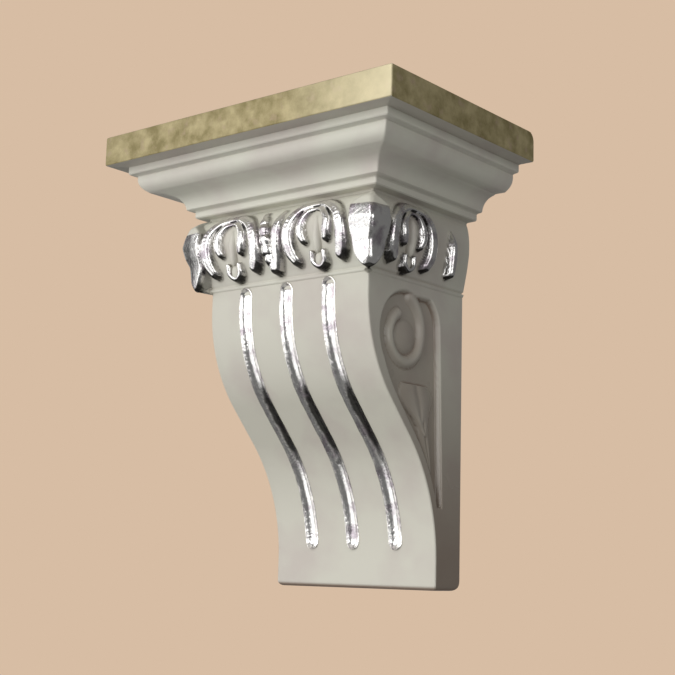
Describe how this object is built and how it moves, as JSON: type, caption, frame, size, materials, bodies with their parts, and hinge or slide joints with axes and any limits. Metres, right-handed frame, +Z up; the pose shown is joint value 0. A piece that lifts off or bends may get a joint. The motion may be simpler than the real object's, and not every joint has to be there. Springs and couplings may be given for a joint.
{
  "type": "corbel",
  "caption": "Small wall corbel: a moulded slab on a band of carved leaves, above a fluted S-shaped scroll whose sunk sides hold volutes and husks.",
  "frame": {"origin": "centre of the flat back face, half way up", "axes": "+Y into the wall, +Z up, +X to the right of someone facing the wall; the front faces -Y"},
  "size_m": [0.168, 0.107, 0.2056],
  "materials": {
    "grey_paint": "satin",
    "silver_leaf": "polished",
    "gold_leaf": "satin"
  },
  "bodies": {
    "root": {"corbel": "grey_paint"}
  },
  "joints": []
}
